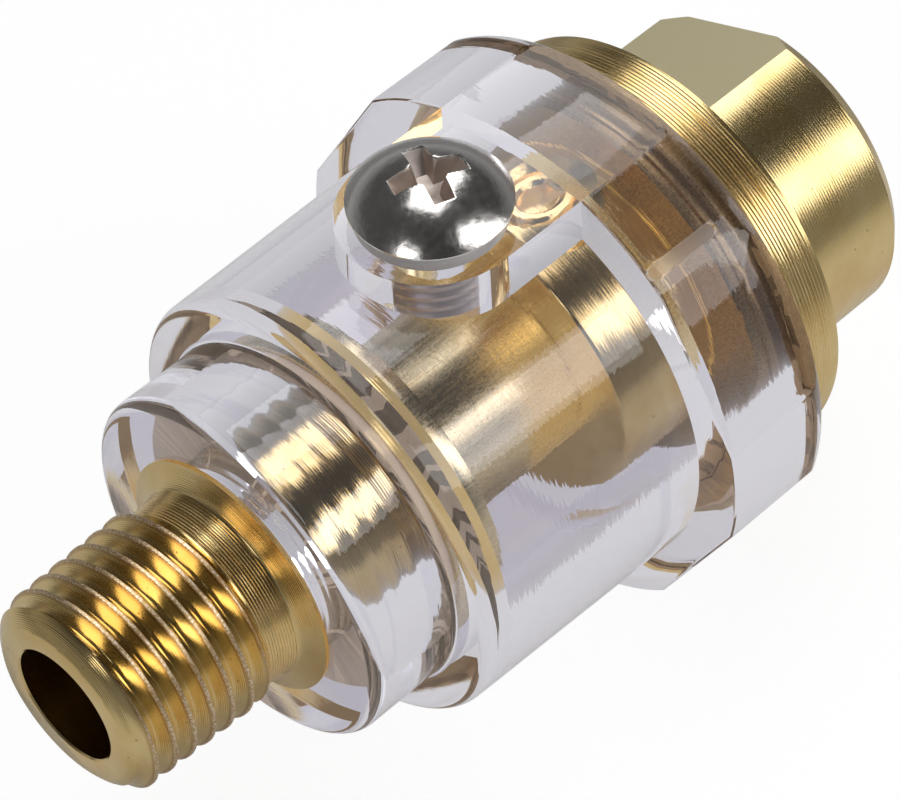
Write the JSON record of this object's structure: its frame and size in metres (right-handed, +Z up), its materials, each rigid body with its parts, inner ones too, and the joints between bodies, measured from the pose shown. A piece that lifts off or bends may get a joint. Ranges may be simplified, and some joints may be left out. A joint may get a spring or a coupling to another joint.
{
  "type": "air line lubricator",
  "caption": "Small in-line oiler for compressed air: clear oil bowl round a brass air tube, threaded outlet nipple, threaded inlet socket, filler screw and metering screw.",
  "frame": {"origin": "On the surface that the part lies on, below the middle of its length and the air line's axis", "axes": "+X along the air line from the outlet's end face to the inlet's end face, against the flow of air; +Z up, through the filler screw"},
  "size_m": [0.059, 0.035, 0.0378],
  "materials": {
    "brass": "satin",
    "clear_plastic": "gloss",
    "chrome": "polished",
    "seal_plastic": "satin",
    "orange_rubber": "matte",
    "black_rubber": "matte",
    "felt": "matte"
  },
  "bodies": {
    "lubricator": {"oil_bowl": "clear_plastic", "outlet_nipple": "brass", "air_tube": "brass", "inlet_body": "brass", "front_gasket": "seal_plastic", "rear_gasket": "orange_rubber", "spigot_o_ring": "black_rubber", "oil_wick": "felt"},
    "filler_washer": {"filler_seal": "seal_plastic"},
    "filler_plug": {"filler_screw": "chrome"},
    "metering_ring": {"metering_o_ring": "black_rubber"},
    "metering_needle": {"metering_screw": "brass"}
  },
  "joints": [
    {"name": "filler_lift", "type": "slide", "parent": "lubricator", "child": "filler_washer", "axis": [0, 0, 1], "range_m": [0, 0.0044]},
    {"name": "filler_turn", "type": "hinge", "parent": "filler_washer", "child": "filler_plug", "pos_m": [0.0005, 0, 0.0332], "axis": [0, 0, 1], "range_deg": [0, 1980.1]},
    {"name": "metering_travel", "type": "slide", "parent": "lubricator", "child": "metering_ring", "axis": [0, 0, 1], "range_m": [-0.0008, 0.0008]},
    {"name": "metering_turn", "type": "hinge", "parent": "metering_ring", "child": "metering_needle", "pos_m": [0.0094, 0, 0.0226], "axis": [0, 0, 1], "range_deg": [-360.1, 360.1]}
  ],
  "couplings": [
    {"joint": "filler_turn", "follows": "filler_lift", "rad_per_m": 7854},
    {"joint": "metering_turn", "follows": "metering_travel", "rad_per_m": 7854}
  ]
}
